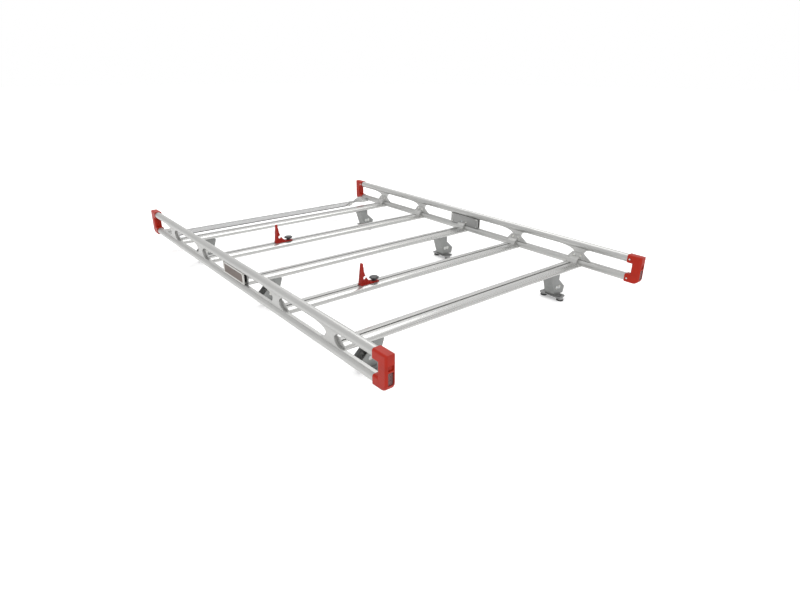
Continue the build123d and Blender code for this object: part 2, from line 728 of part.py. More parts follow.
rivet_grip = web_thickness + plate_thickness + back_thickness
with BuildPart() as nameplate_rivets:
    with Locations([facing((side * (rail_x + web_face + plate_thickness), y, z), (side, 0, 0))
                    for side in side_names for y, z in rivet_points]):
        Cylinder(rivet_head, rivet_head_height, align=(Align.CENTER, Align.CENTER, Align.MIN))
        Cylinder(rivet_radius - rivet_fit, rivet_grip,
                 align=(Align.CENTER, Align.CENTER, Align.MAX))
    with Locations([facing((side * (rail_x - web_face - back_thickness), y, z), (-side, 0, 0))
                    for side in side_names for y, z in rivet_points]):
        Cylinder(rivet_head, rivet_head_height, align=(Align.CENTER, Align.CENTER, Align.MIN))
save(nameplate_rivets, "nameplate_rivets")


# ================================================================ wind deflector
blade_slope = atan2(deflector_drop, deflector_run)
blade_length = (deflector_drop ** 2 + deflector_run ** 2) ** 0.5
deflector_top_z = rail_axis_z - deflector_top_drop
deflector_top_y = (rack_length / 2 - edge_trim_radius - deflector_sheet / 2 * sin(blade_slope)
                   - deflector_run)
# Plane of the blade's underside: its x runs along the rack's X, its y runs down the blade.
blade_plane = Plane(origin=(0, deflector_top_y, deflector_top_z),
                    x_dir=(1, 0, 0), z_dir=(0, deflector_drop, deflector_run))
blade_side = Plane(origin=(-deflector_length / 2, deflector_top_y, deflector_top_z),
                   x_dir=(0, deflector_run, -deflector_drop), z_dir=(1, 0, 0))
arm_cheek_x = deflector_length / 2 + arm_gap
arm_flange = (arm_flange_margin, blade_length - 2 * edge_trim_radius - arm_flange_margin)
arm_bolt_x = arm_cheek_x - arm_inset / 2
blade_bolt_points = [(side * arm_bolt_x, along) for side in side_names
                     for along in (arm_flange[0] + arm_bolt_margin, arm_flange[1] - arm_bolt_margin)]
arm_saddle_y = front_face_y - cap_back - cap_arm - arm_cap_gap - arm_length / 2


def blade_point(across, along, lift):
    """Point in the rack's frame from a place on the deflector's blade."""
    return (across, deflector_top_y + along * cos(blade_slope) + lift * sin(blade_slope),
            deflector_top_z - along * sin(blade_slope) + lift * cos(blade_slope))


with BuildPart() as wind_deflector:
    with BuildSketch(blade_side):
        with BuildLine():
            Polyline((0, 0), (blade_length, 0), (blade_length, deflector_sheet),
                     (deflector_sheet, deflector_sheet), (-deflector_hem_lean, deflector_hem),
                     (-deflector_hem_lean - deflector_sheet, deflector_hem), close=True)
        make_face()
    extrude(amount=deflector_length)
    with BuildSketch(blade_plane):
        with Locations(blade_bolt_points):
            Circle(bolt_hole_radius)
    extrude(amount=deflector_sheet, both=True, mode=Mode.SUBTRACT)
save(wind_deflector, "wind_deflector")

with BuildPart() as deflector_edge_trim:
    with BuildSketch(blade_side):
        with Locations((blade_length, deflector_sheet / 2)):
            Circle(edge_trim_radius)
        with Locations((blade_length - edge_trim_radius, deflector_sheet / 2)):
            Rectangle(2 * edge_trim_radius, deflector_sheet, mode=Mode.SUBTRACT)
    extrude(amount=deflector_length)
save(deflector_edge_trim, "deflector_edge_trim")


def make_deflector_arm(side):
    """Bracket from the rail's lower tube down to the deflector's underside."""
    cheek_inner = rail_x - arm_cheek_x
    saddle_low = -tube_radius - arm_thickness
    with BuildPart() as arm:
        with BuildSketch(Plane(origin=(side * rail_x, arm_saddle_y, rail_axis_z),
                               x_dir=(-side, 0, 0), z_dir=(0, side, 0))):
            with BuildLine():
                Polyline((cheek_inner, saddle_low), (cheek_inner, arm_rise),
                         (tube_radius - arm_top_cut, arm_rise), (0, 0), (0, saddle_low),
                         close=True)
            make_face()
            Circle(tube_radius + saddle_gap, mode=Mode.SUBTRACT)
        extrude(amount=arm_length / 2, both=True)
        low_rear = blade_point(0, arm_flange[0], -arm_thickness)
        low_front = blade_point(0, arm_flange[1], -arm_thickness)
        high_front = blade_point(0, arm_flange[1], 0)
        with BuildSketch(Plane(origin=(side * arm_cheek_x, 0, 0), x_dir=(0, 1, 0),
                               z_dir=(1, 0, 0))):
            with BuildLine():
                Polyline((arm_saddle_y - arm_length / 2, rail_axis_z + saddle_low),
                         (arm_saddle_y - arm_length / 2, rail_axis_z + arm_rise),
                         (arm_saddle_y + arm_length / 2, rail_axis_z + arm_rise),
                         (deflector_top_y + arm_neck, deflector_top_z + arm_neck_rise),
                         high_front[1:], low_front[1:], low_rear[1:], close=True)
            make_face()
        extrude(amount=-side * arm_thickness)
        with BuildSketch(blade_plane):
            with Locations((side * (arm_cheek_x - arm_inset / 2), sum(arm_flange) / 2)):
                Rectangle(arm_inset, arm_flange[1] - arm_flange[0])
            with Locations([point for point in blade_bolt_points if point[0] * side > 0]):
                Circle(bolt_hole_radius, mode=Mode.SUBTRACT)
        extrude(amount=-arm_thickness)
    return arm


for side, side_name in side_names.items():
    save(make_deflector_arm(side), f"{side_name}_deflector_arm")


# ================================================================ bolts and nuts
def make_bolt(length):
    """Button-head bolt; its head's bearing face is at Z = 0 and its shank points down."""
    with BuildPart() as bolt:
        Cylinder(bolt_head_radius, bolt_head_height,
                 align=(Align.CENTER, Align.CENTER, Align.MIN))
        top = bolt.edges().filter_by(GeomType.CIRCLE).sort_by(Axis.Z)[-1]
        fillet(top, radius=bolt_head_dome)
        with BuildSketch(Plane.XY.offset(bolt_head_height)):
            RegularPolygon(hex_key / 2, 6, major_radius=False)
        extrude(amount=-hex_key_depth, mode=Mode.SUBTRACT)
        Cylinder(bolt_radius, length, align=(Align.CENTER, Align.CENTER, Align.MAX))
    return bolt.part


def make_nut():
    """Hexagon nut whose bearing face is at Z = 0, standing up from it."""
    with BuildPart() as nut:
        with BuildSketch():
            RegularPolygon(nut_flats / 2, 6, major_radius=False)
            Circle(thread_radius, mode=Mode.SUBTRACT)
        extrude(amount=nut_height)
    return nut.part


web_bolt_places = [(side, y + shift) for side in side_names for y in bar_y
                   for shift in (-web_bolt_rear, web_bolt_front)]
tongue_bolt_places = [(side * x, y, bar_bottom_z) for side in side_names for y in bar_y
                      for x in tongue_bolt_x]
flange_bolt_places = [(side * x, bar_y[row], bar_bottom_z - foot_plate)
                      for side, row in feet for x in foot_bolt_x]
ear_face = foot_width / 2
ear_bolt_places = [(side * ear_x + step * foot_slot_pitch / 2, bar_y[row], end)
                   for side, row in feet for end in (-1, 1) for step in (-1, 1)]
ear_bolt_z = base_z + base_plate + foot_clear + foot_slot_height
web_bolt_length = fitting_plate + thread_depth
tongue_bolt_length = bar_wall + thread_depth
flange_bolt_length = foot_plate + bar_wall + nut_height + bolt_tail
ear_bolt_length = foot_plate + ear_thickness + nut_height + bolt_tail
blade_bolt_length = deflector_sheet + arm_thickness + nut_height + bolt_tail
blade_up = (0, deflector_drop, deflector_run)
blade_down = (0, -deflector_drop, -deflector_run)


with BuildPart() as fitting_web_bolts:
    with Locations([facing((side * (rail_x - web_face - fitting_plate), y, web_bolt_z),
                           (-side, 0, 0)) for side, y in web_bolt_places]):
        add(make_bolt(web_bolt_length))
save(fitting_web_bolts, "fitting_web_bolts")

with BuildPart() as crossbar_bolts:
    with Locations([facing(point, (0, 0, -1)) for point in tongue_bolt_places]):
        add(make_bolt(tongue_bolt_length))
    with Locations([facing(point, (0, 0, -1)) for point in flange_bolt_places]):
        add(make_bolt(flange_bolt_length))
save(crossbar_bolts, "crossbar_bolts")

with BuildPart() as foot_height_bolts:
    with Locations([facing((x, y + end * ear_face, ear_bolt_z), (0, end, 0))
                    for x, y, end in ear_bolt_places]):
        add(make_bolt(ear_bolt_length))
save(foot_height_bolts, "foot_height_bolts")

with BuildPart() as deflector_bolts:
    with Locations([facing(blade_point(across, along, deflector_sheet), blade_up)
                    for across, along in blade_bolt_points]):
        add(make_bolt(blade_bolt_length))
save(deflector_bolts, "deflector_bolts")

with BuildPart() as hex_nuts:
    with Locations([(x, y, bar_bottom_z + bar_wall) for x, y, head_z in flange_bolt_places]):
        add(make_nut())
    with Locations([facing((x, y + end * (ear_face - foot_plate - ear_thickness), ear_bolt_z),
                           (0, -end, 0)) for x, y, end in ear_bolt_places]):
        add(make_nut())
    with Locations([facing(blade_point(across, along, -arm_thickness), blade_down)
                    for across, along in blade_bolt_points]):
        add(make_nut())
save(hex_nuts, "hex_nuts")


# ================================================================ load stops
def make_load_stop(y):
    """Leaning face on a slotted foot, stiffened by a fin with one round hole."""
    face_top = stop_lean * stop_web_top / stop_height
    with BuildPart() as stop:
        floor = Plane.XY.offset(stop_z)
        with BuildSketch(floor):
            with Locations((stop_x + stop_base_length / 2, y)):
                RectangleRounded(stop_base_length, stop_base_width, stop_corner)
        extrude(amount=stop_base_thickness)
        with BuildSketch(floor):
            with Locations((stop_x + stop_block_reach / 2, y)):
                RectangleRounded(stop_block_reach, stop_face_width, stop_corner)
        extrude(amount=stop_block_height)
        middle = Plane(origin=(stop_x, y, stop_z), x_dir=(1, 0, 0), z_dir=(0, -1, 0))
        with BuildSketch(middle):
            with BuildLine():
                Polyline((0, 0), (stop_lean, stop_height),
                         (stop_lean + stop_face_thickness, stop_height),
                         (stop_face_thickness, 0), close=True)
            make_face()
        extrude(amount=stop_face_width / 2, both=True)
        top_face = stop.faces().sort_by(Axis.Z)[-1]
        fillet(top_face.edges().filter_by(Axis.X), radius=stop_tip)
        with BuildSketch(middle):
            with BuildLine():
                Polyline((face_top, stop_web_top), (0, 0), (stop_web_reach, 0),
                         (stop_web_reach, stop_block_height))
                SagittaArc((stop_web_reach, stop_block_height), stop_web_waist, stop_bulge)
                SagittaArc(stop_web_waist, (face_top + stop_face_thickness, stop_web_top),
                           -stop_scoop)
                Line((face_top + stop_face_thickness, stop_web_top), (face_top, stop_web_top))
            make_face()
        extrude(amount=stop_web / 2, both=True)
        with BuildSketch(middle):
            with Locations((stop_hole_x, stop_hole_z)):
                Circle(stop_hole_radius)
        extrude(amount=stop_face_width, both=True, mode=Mode.SUBTRACT)
        with BuildSketch(floor):
            with Locations((stop_x + knob_x, y)):
                Circle(bolt_radius + clamp_stud_clearance)
        extrude(amount=stop_base_thickness, mode=Mode.SUBTRACT)
    return stop


def make_clamp_stud(y):
    """T-nut in the slot with the stud that the knob screws down on."""
    with BuildPart() as stud:
        with BuildSketch(Plane.XY.offset(bar_top_z - slot_floor + tee_nut_clearance)):
            with Locations((stop_x + knob_x, y)):
                Rectangle(tee_nut_length, slot_width - 2 * tee_nut_clearance)
        extrude(amount=slot_depth - 2 * tee_nut_clearance)
        with BuildSketch(Plane.XY.offset(bar_top_z - slot_lip - tee_nut_clearance)):
            with Locations((stop_x + knob_x, y)):
                Circle(bolt_radius)
        extrude(amount=stud_height)
    return stud


def make_knob(y):
    """Fluted clamp knob on a stem, with a blind bore for the stud."""
    with BuildPart() as knob:
        with BuildSketch(Plane.XY.offset(knob_z)):
            with Locations((stop_x + knob_x, y)):
                Circle(knob_stem_radius)
        extrude(amount=knob_stem_height)
        with BuildSketch(Plane.XY.offset(knob_z + knob_stem_height)):
            with Locations((stop_x + knob_x, y)):
                Circle(knob_radius)
                with PolarLocations(knob_radius + knob_flute_offset, knob_flutes):
                    Circle(knob_flute_radius, mode=Mode.SUBTRACT)
        extrude(amount=knob_thickness)
        rim = knob.faces().sort_by(Axis.Z)[-1].edges()
        fillet(rim, radius=knob_edge)
        with BuildSketch(Plane.XY.offset(knob_z)):
            with Locations((stop_x + knob_x, y)):
                Circle(bolt_radius + knob_bore_clearance)
        extrude(amount=knob_bore_depth, mode=Mode.SUBTRACT)
    return knob


knob_z = stop_z + stop_base_thickness + knob_gap
stud_top = knob_z + knob_bore_depth - clamp_stud_end_gap
stud_height = stud_top - (bar_top_z - slot_lip - tee_nut_clearance)
for row in stop_rows:
    place = "rear" if row < bar_count / 2 - 1 else "front"
    save(make_load_stop(bar_y[row]), f"{place}_load_stop")
    save(make_clamp_stud(bar_y[row]), f"{place}_clamp_stud")
    save(make_knob(bar_y[row]), f"{place}_clamp_knob")
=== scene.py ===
import json
import math

import bmesh
import bpy
from mathutils import Matrix, Vector


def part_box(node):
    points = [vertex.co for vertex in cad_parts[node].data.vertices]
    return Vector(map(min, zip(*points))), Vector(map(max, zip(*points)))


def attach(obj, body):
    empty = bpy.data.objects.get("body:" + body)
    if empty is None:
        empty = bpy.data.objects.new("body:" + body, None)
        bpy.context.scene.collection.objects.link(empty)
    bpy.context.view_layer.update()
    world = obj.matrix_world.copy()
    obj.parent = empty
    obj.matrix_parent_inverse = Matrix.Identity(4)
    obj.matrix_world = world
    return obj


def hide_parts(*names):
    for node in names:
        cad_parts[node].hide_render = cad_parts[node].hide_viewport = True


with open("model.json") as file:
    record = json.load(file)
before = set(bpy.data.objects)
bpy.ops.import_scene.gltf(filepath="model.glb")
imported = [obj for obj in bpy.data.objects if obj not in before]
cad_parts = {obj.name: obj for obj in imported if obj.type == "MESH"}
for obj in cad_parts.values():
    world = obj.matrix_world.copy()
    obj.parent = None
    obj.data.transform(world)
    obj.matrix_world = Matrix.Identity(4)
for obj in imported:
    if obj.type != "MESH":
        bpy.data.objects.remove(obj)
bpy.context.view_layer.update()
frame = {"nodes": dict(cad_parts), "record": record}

# ---------------------------------------------------------------- camera
# The rack is seen from behind its left rear corner, in metres and degrees.
CAMERA_PLACE = (-1.9157, -2.6853, 1.2585)
CAMERA_AZIMUTH = 39.24
CAMERA_TILT = 23.17
CAMERA_ROLL = 0.38
CAMERA_LENS = 25.15

camera_data = bpy.data.cameras.new("camera")
camera_data.lens = CAMERA_LENS
camera_data.sensor_width = 36.0
camera_data.clip_end = 60.0
camera = bpy.data.objects.new("camera", camera_data)
turn = Matrix.Rotation(math.radians(-CAMERA_AZIMUTH), 4, "Z")
tilt = Matrix.Rotation(math.radians(90.0 - CAMERA_TILT), 4, "X")
roll = Matrix.Rotation(math.radians(CAMERA_ROLL), 4, "Z")
camera.matrix_world = Matrix.Translation(CAMERA_PLACE) @ turn @ tilt @ roll
bpy.context.scene.collection.objects.link(camera)
bpy.context.scene.camera = camera


# ---------------------------------------------------------------- material helpers
def new_material(name, color, metallic=0.0, roughness=0.5):
    """A node material; returns it with its tree and its Principled shader."""
    material = bpy.data.materials.new(name)
    material.use_nodes = True
    tree = material.node_tree
    shader = tree.nodes["Principled BSDF"]
    shader.inputs["Base Color"].default_value = (*color, 1.0)
    shader.inputs["Metallic"].default_value = metallic
    shader.inputs["Roughness"].default_value = roughness
    return material, tree, shader


def add_node(tree, kind, **settings):
    """A new node with properties and input values set by name."""
    node = tree.nodes.new(kind)
    for key, value in settings.items():
        if hasattr(node, key):
            setattr(node, key, value)
        else:
            node.inputs[key.replace("_", " ")].default_value = value
    return node


def coordinates(tree, scale):
    """Coordinates fixed to the part, stretched by scale along X, Y and Z."""
    source = add_node(tree, "ShaderNodeTexCoord")
    mapping = add_node(tree, "ShaderNodeMapping")
    mapping.inputs["Scale"].default_value = scale
    tree.links.new(source.outputs["Object"], mapping.inputs["Vector"])
    return mapping.outputs["Vector"]


def noise(tree, scale, detail=3.0):
    """Noise over the part, with scale as three numbers per metre."""
    node = add_node(tree, "ShaderNodeTexNoise", Scale=1.0, Detail=detail)
    tree.links.new(coordinates(tree, scale), node.inputs["Vector"])
    return node.outputs["Fac"]


def remap(tree, value, low, high, start=0.3, end=0.7):
    """value from start..end spread over low..high."""
    node = add_node(tree, "ShaderNodeMapRange")
    for name, number in (("From Min", start), ("From Max", end), ("To Min", low), ("To Max", high)):
        node.inputs[name].default_value = number
    tree.links.new(value, node.inputs["Value"])
    return node.outputs["Result"]


def mix_colors(tree, factor, first, second):
    """Colour between first and second, each a colour or an output."""
    node = add_node(tree, "ShaderNodeMix", data_type="RGBA")
    for slot, color in (("A", first), ("B", second)):
        socket = [s for s in node.inputs if s.name == slot and s.type == "RGBA"][0]
        if isinstance(color, bpy.types.NodeSocket):
            tree.links.new(color, socket)
        else:
            socket.default_value = (*color, 1.0)
    factor_socket = [s for s in node.inputs if s.name == "Factor" and s.type == "VALUE"][0]
    tree.links.new(factor, factor_socket)
    return [s for s in node.outputs if s.type == "RGBA"][0]


def bump(tree, shader, height, distance, strength=1.0, edge=0.0005):
    """Surface relief, in metres, over edges softened by a small radius."""
    node = add_node(tree, "ShaderNodeBump", Strength=strength, Distance=distance)
    tree.links.new(height, node.inputs["Height"])
    if edge > 0:
        soft = add_node(tree, "ShaderNodeBevel", samples=4, Radius=edge)
        tree.links.new(soft.outputs["Normal"], node.inputs["Normal"])
    tree.links.new(node.outputs["Normal"], shader.inputs["Normal"])


def edge_mask(tree, radius):
    """1 along sharp edges, 0 on flat stretches."""
    soft = add_node(tree, "ShaderNodeBevel", samples=4, Radius=radius)
    plain = add_node(tree, "ShaderNodeNewGeometry")
    dot = add_node(tree, "ShaderNodeVectorMath", operation="DOT_PRODUCT")
    tree.links.new(soft.outputs["Normal"], dot.inputs[0])
    tree.links.new(plain.outputs["True Normal"], dot.inputs[1])
    return remap(tree, dot.outputs["Value"], 1.0, 0.0, 0.80, 0.97)


def tinted(color, share):
    """color made lighter or darker by share."""
    return tuple(min(1.0, channel * share) for channel in color)


# ---------------------------------------------------------------- materials
def extruded_aluminium(name, color, grain, roughness=0.36):
    """Satin anodised extrusion with fine drawing lines along the axis named by grain."""
    material, tree, shader = new_material(name, color, 0.72, roughness)
    lines = noise(tree, [4.0 if axis == grain else 900.0 for axis in "XYZ"], 4.0)
    bands = noise(tree, [1.2 if axis == grain else 70.0 for axis in "XYZ"], 2.0)
    clouds = noise(tree, (5.0, 5.0, 5.0), 3.0)
    tone = mix_colors(tree, remap(tree, clouds, 0.0, 1.0), tinted(color, 0.95), tinted(color, 1.04))
    tone = mix_colors(tree, remap(tree, bands, 0.0, 0.5), tone, tinted(color, 0.90))
    tone = mix_colors(tree, remap(tree, lines, 0.0, 0.16), tone, tinted(color, 0.72))
    tree.links.new(tone, shader.inputs["Base Color"])
    tree.links.new(remap(tree, lines, roughness - 0.05, roughness + 0.09), shader.inputs["Roughness"])
    bump(tree, shader, lines, 0.00006)
    return material


def cast_aluminium(name, color):
    """Sand-cast metal: pitted, a little blotchy, rubbed bright along its edges."""
    material, tree, shader = new_material(name, color, 0.65, 0.5)
    grit = noise(tree, (700.0, 700.0, 700.0), 5.0)
    blotches = noise(tree, (35.0, 35.0, 35.0), 4.0)
    tone = mix_colors(tree, remap(tree, blotches, 0.0, 1.0), tinted(color, 0.86), tinted(color, 1.10))
    tone = mix_colors(tree, edge_mask(tree, 0.0012), tone, tinted(color, 1.45))
    tree.links.new(tone, shader.inputs["Base Color"])
    tree.links.new(remap(tree, grit, 0.42, 0.60), shader.inputs["Roughness"])
    bump(tree, shader, grit, 0.00035)
    return material


def powder_coat(name, color, roughness=0.42, worn=(0.42, 0.42, 0.41), metallic=0.0, gloss=0.5):
    """Powder coat with orange peel, dust in patches and chips of bare metal at the edges."""
    material, tree, shader = new_material(name, color, metallic, roughness)
    peel = noise(tree, (480.0, 480.0, 480.0), 2.0)
    dust = noise(tree, (14.0, 14.0, 14.0), 5.0)
    chips = noise(tree, (260.0, 260.0, 260.0), 4.0)
    tone = mix_colors(tree, remap(tree, dust, 0.0, 1.0), tinted(color, 0.88), tinted(color, 1.12))
    wear = add_node(tree, "ShaderNodeMath", operation="MULTIPLY")
    tree.links.new(edge_mask(tree, 0.0010), wear.inputs[0])
    tree.links.new(remap(tree, chips, 0.0, 1.0, 0.50, 0.62), wear.inputs[1])
    tone = mix_colors(tree, wear.outputs[0], tone, worn)
    tree.links.new(tone, shader.inputs["Base Color"])
    tree.links.new(remap(tree, dust, roughness - 0.06, roughness + 0.12), shader.inputs["Roughness"])
    shader.inputs["Specular IOR Level"].default_value = gloss
    shader.inputs["Coat Weight"].default_value = 0.15 * gloss / 0.5
    shader.inputs["Coat Roughness"].default_value = 0.25
    bump(tree, shader, peel, 0.00022)
    return material


def zinc_plate(name, color):
    """Bright zinc with a faint straw and blue bloom."""
    material, tree, shader = new_material(name, color, 1.0, 0.30)
    bloom = noise(tree, (120.0, 120.0, 120.0), 3.0)
    scuffs = noise(tree, (900.0, 900.0, 900.0), 4.0)
    tone = mix_colors(tree, remap(tree, bloom, 0.0, 1.0), (0.62, 0.59, 0.50), (0.58, 0.62, 0.66))
    tone = mix_colors(tree, remap(tree, scuffs, 0.0, 0.35), tone, tinted(color, 0.6))
    tree.links.new(tone, shader.inputs["Base Color"])
    tree.links.new(remap(tree, scuffs, 0.22, 0.42), shader.inputs["Roughness"])
    bump(tree, shader, scuffs, 0.00004)
    return material


def moulded_plastic(name, color, roughness, grain=0.00012, coat=0.0, lift=1.18, gloss=0.5):
    """Moulded plastic: fine spark-eroded grain, slight flow marks, paler rubbed edges."""
    material, tree, shader = new_material(name, color, 0.0, roughness)
    grains = noise(tree, (1500.0, 1500.0, 1500.0), 2.0)
    flow = noise(tree, (22.0, 9.0, 30.0), 4.0)
    tone = mix_colors(tree, remap(tree, flow, 0.0, 1.0), tinted(color, 0.92), tinted(color, 1.08))
    tone = mix_colors(tree, edge_mask(tree, 0.0015), tone, tinted(color, lift))
    tree.links.new(tone, shader.inputs["Base Color"])
    tree.links.new(remap(tree, grains, roughness - 0.05, roughness + 0.08), shader.inputs["Roughness"])
    shader.inputs["Specular IOR Level"].default_value = gloss
    shader.inputs["Coat Weight"].default_value = coat
    shader.inputs["Coat Roughness"].default_value = 0.12
    bump(tree, shader, grains, grain)
    return material


def rubber(name, color):
    """Matt moulded rubber with specks and a dusty bloom."""
    material, tree, shader = new_material(name, color, 0.0, 0.8)
    specks = noise(tree, (1100.0, 1100.0, 1100.0), 3.0)
    bloom = noise(tree, (40.0, 40.0, 40.0), 4.0)
    tone = mix_colors(tree, remap(tree, bloom, 0.0, 0.8), color, tinted(color, 2.4))
    tree.links.new(tone, shader.inputs["Base Color"])
    tree.links.new(remap(tree, specks, 0.68, 0.9), shader.inputs["Roughness"])
    shader.inputs["Sheen Weight"].default_value = 0.08
    bump(tree, shader, specks, 0.00025)
    return material


def lens_plastic(name, color):
    """Clear red lens: deep colour, glossy coat, a little light carried inside."""
    material, tree, shader = new_material(name, color, 0.0, 0.12)
    depth = noise(tree, (300.0, 300.0, 300.0), 2.0)
    tone = mix_colors(tree, remap(tree, depth, 0.0, 1.0), tinted(color, 0.7), tinted(color, 1.25))
    tree.links.new(tone, shader.inputs["Base Color"])
    shader.inputs["Coat Weight"].default_value = 0.35
    shader.inputs["Coat Roughness"].default_value = 0.05
    shader.inputs["Subsurface Weight"].default_value = 0.2
    shader.inputs["Subsurface Scale"].default_value = 0.003
    bump(tree, shader, depth, 0.00005)
    return material


SILVER = (0.43, 0.43, 0.42)
MATERIALS = {
    "rail_aluminium": extruded_aluminium("rail_aluminium", SILVER, "Y"),
    # The crossbars use the rail aluminium made a tenth lighter: a painted highlight standing in for the
    # light on their upper faces.
    "crossbar_aluminium": extruded_aluminium("crossbar_aluminium", tinted(SILVER, 1.10), "X", 0.24),
    "cast_fitting": cast_aluminium("cast_fitting", (0.44, 0.44, 0.43)),
    "foot_steel": powder_coat("foot_steel", (0.20, 0.205, 0.20), 0.40, (0.55, 0.55, 0.54), 0.35),
    "foot_base_steel": powder_coat("foot_base_steel", (0.19, 0.19, 0.19), 0.42, (0.5, 0.5, 0.5), 0.3),
    "pad_rubber": rubber("pad_rubber", (0.022, 0.022, 0.022)),
    "collar_plastic": moulded_plastic("collar_plastic", (0.30, 0.30, 0.30), 0.5),
    "cap_plastic": moulded_plastic("cap_plastic", (0.31, 0.012, 0.003), 0.40, coat=0.02, gloss=0.16),
    "reflector_red": lens_plastic("reflector_red", (0.07, 0.0015, 0.0015)),
    "nameplate_metal": powder_coat("nameplate_metal", (0.46, 0.45, 0.43), 0.4, (0.6, 0.6, 0.6), 0.5),
    "nameplate_dark": moulded_plastic("nameplate_dark", (0.085, 0.06, 0.048), 0.5),
    "nameplate_back_metal": extruded_aluminium("nameplate_back_metal", (0.30, 0.30, 0.295), "Y", 0.46),
    "bright_steel": zinc_plate("bright_steel", (0.60, 0.60, 0.60)),
    "deflector_grey": powder_coat("deflector_grey", (0.40, 0.40, 0.40), 0.42, (0.6, 0.6, 0.6), 0.5),
    "trim_rubber": rubber("trim_rubber", (0.025, 0.025, 0.025)),
    "stop_red": powder_coat("stop_red", (0.29, 0.010, 0.004), 0.40, (0.34, 0.12, 0.10), gloss=0.16),
    "knob_black": moulded_plastic("knob_black", (0.018, 0.018, 0.018), 0.35, lift=2.0),
}
node_slots = {row["node"]: row["material_slot"] for row in frame["record"]["subparts"]}


def give_material(piece, slot_name):
    """Gives a piece its procedural material and nothing else."""
    piece.data.materials.clear()
    piece.data.materials.append(MATERIALS[slot_name])


for node_name, node_object in frame["nodes"].items():
    give_material(node_object, node_slots[node_name])


# ---------------------------------------------------------------- mesh helpers
def finish_piece(name, mesh, body, slot_name, replaced=(), smooth_angle=35.0):
    """Turns a bmesh into a piece that rides on a body."""
    bmesh.ops.recalc_face_normals(mesh, faces=mesh.faces)
    data = bpy.data.meshes.new(name)
    mesh.to_mesh(data)
    mesh.free()
    piece = bpy.data.objects.new(name, data)
    bpy.context.scene.collection.objects.link(piece)
    data.shade_smooth()
    data.set_sharp_from_angle(angle=math.radians(smooth_angle))
    give_material(piece, slot_name)
    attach(piece, body)
    if replaced:
        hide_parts(*replaced)
    return piece


def lathe(mesh, profile, place, segments=56, ripple=None):
    """Adds a closed ring of (radius, rise) points turned about the local Z axis of place."""
    rings = []
    for step in range(segments):
        angle = 2 * math.pi * step / segments
        ring = []
        for index, (radius, rise) in enumerate(profile):
            if ripple:
                radius = ripple(radius, angle, index)
            point = Vector((radius * math.cos(angle), radius * math.sin(angle), rise))
            ring.append(mesh.verts.new(place @ point))
        rings.append(ring)
    count = len(profile)
    for step in range(segments):
        here, there = rings[step], rings[(step + 1) % segments]
        for index in range(count):
            after = (index + 1) % count
            mesh.faces.new((here[index], there[index], there[after], here[after]))


def rounded(profile, radius, steps=4):
    """Profile with each corner cut by a short arc of about that radius."""
    points = []
    count = len(profile)
    for index, corner in enumerate(profile):
        corner = Vector(corner)
        before = Vector(profile[index - 1]) - corner
        after = Vector(profile[(index + 1) % count]) - corner
        reach = min(radius, before.length * 0.45, after.length * 0.45)
        start = corner + before.normalized() * reach
        end = corner + after.normalized() * reach
        for step in range(steps + 1):
            share = step / steps
            points.append(start * (1 - share) ** 2 + corner * 2 * share * (1 - share)
                          + end * share ** 2)
    return [(point.x, point.y) for point in points]


def solids(node):
    """Lowest and highest corner of each separate solid of a CAD node."""
    mesh = bmesh.new()
    mesh.from_mesh(frame["nodes"][node].data)
    bmesh.ops.remove_doubles(mesh, verts=mesh.verts, dist=1e-6)
    left = set(mesh.verts)
    boxes = []
    while left:
        front = [left.pop()]
        found = []
        while front:
            vertex = front.pop()
            found.append(vertex.co.copy())
            for edge in vertex.link_edges:
                other = edge.other_vert(vertex)
                if other in left:
                    left.remove(other)
                    front.append(other)
        boxes.append((Vector(min(co[i] for co in found) for i in range(3)),
                      Vector(max(co[i] for co in found) for i in range(3))))
    mesh.free()
    return sorted(boxes, key=lambda box: tuple(round(v, 4) for v in (box[0] + box[1]) / 2))


# ---------------------------------------------------------------- roof pads and collars
ROOF_HOLE = 0.0045


def make_roof_pads():
    """Rubber pads with two grooves round the side and a dished underside rim."""
    mesh = bmesh.new()
    for low, high in solids("roof_pads"):
        radius = (high.x - low.x) / 2
        height = high.z - low.z
        groove = 0.0012
        rise = [height * share for share in (0.30, 0.42, 0.58, 0.70)]
        profile = [(ROOF_HOLE, 0), (radius * 0.55, 0), (radius * 0.60, 0.0008), (radius * 0.72, 0.0008),
                   (radius * 0.77, 0), (radius - 0.0008, 0), (radius, rise[0]),
                   (radius - groove, (rise[0] + rise[1]) / 2), (radius, rise[1]), (radius, rise[2]),
                   (radius - groove, (rise[2] + rise[3]) / 2), (radius, rise[3]),
                   (radius - 0.0006, height), (ROOF_HOLE, height)]
        place = Matrix.Translation(((low.x + high.x) / 2, (low.y + high.y) / 2, low.z))
        lathe(mesh, rounded(profile, 0.0006, 2), place)
    finish_piece("ribbed_roof_pads", mesh, "root", "pad_rubber", ["roof_pads"])


def make_roof_collars():
    """Spacer collars with a flange top and bottom and a ribbed grip between."""
    ribs = 28
    mesh = bmesh.new()
    for low, high in solids("roof_collars"):
        radius = (high.x - low.x) / 2
        height = high.z - low.z
        waist = radius - 0.0022
        profile = [(ROOF_HOLE, 0), (radius, 0), (radius, height * 0.22), (waist, height * 0.30),
                   (waist, height * 0.70), (radius, height * 0.78), (radius, height),
                   (ROOF_HOLE, height)]

        def grip(value, angle, index, waist=waist):
            share = 0.5 + 0.5 * math.cos(ribs * angle)
            return value + 0.0010 * share if abs(value - waist) < 1e-4 else value
        place = Matrix.Translation(((low.x + high.x) / 2, (low.y + high.y) / 2, low.z))
        lathe(mesh, rounded(profile, 0.0005, 2), place, ribs * 6, grip)
    finish_piece("grip_collars", mesh, "root", "collar_plastic", ["roof_collars"])


make_roof_pads()
make_roof_collars()


# ---------------------------------------------------------------- clamp knobs
KNOB_LOBES = 8
KNOB_DISC = 0.0115
KNOB_BORE_DEPTH = 0.015


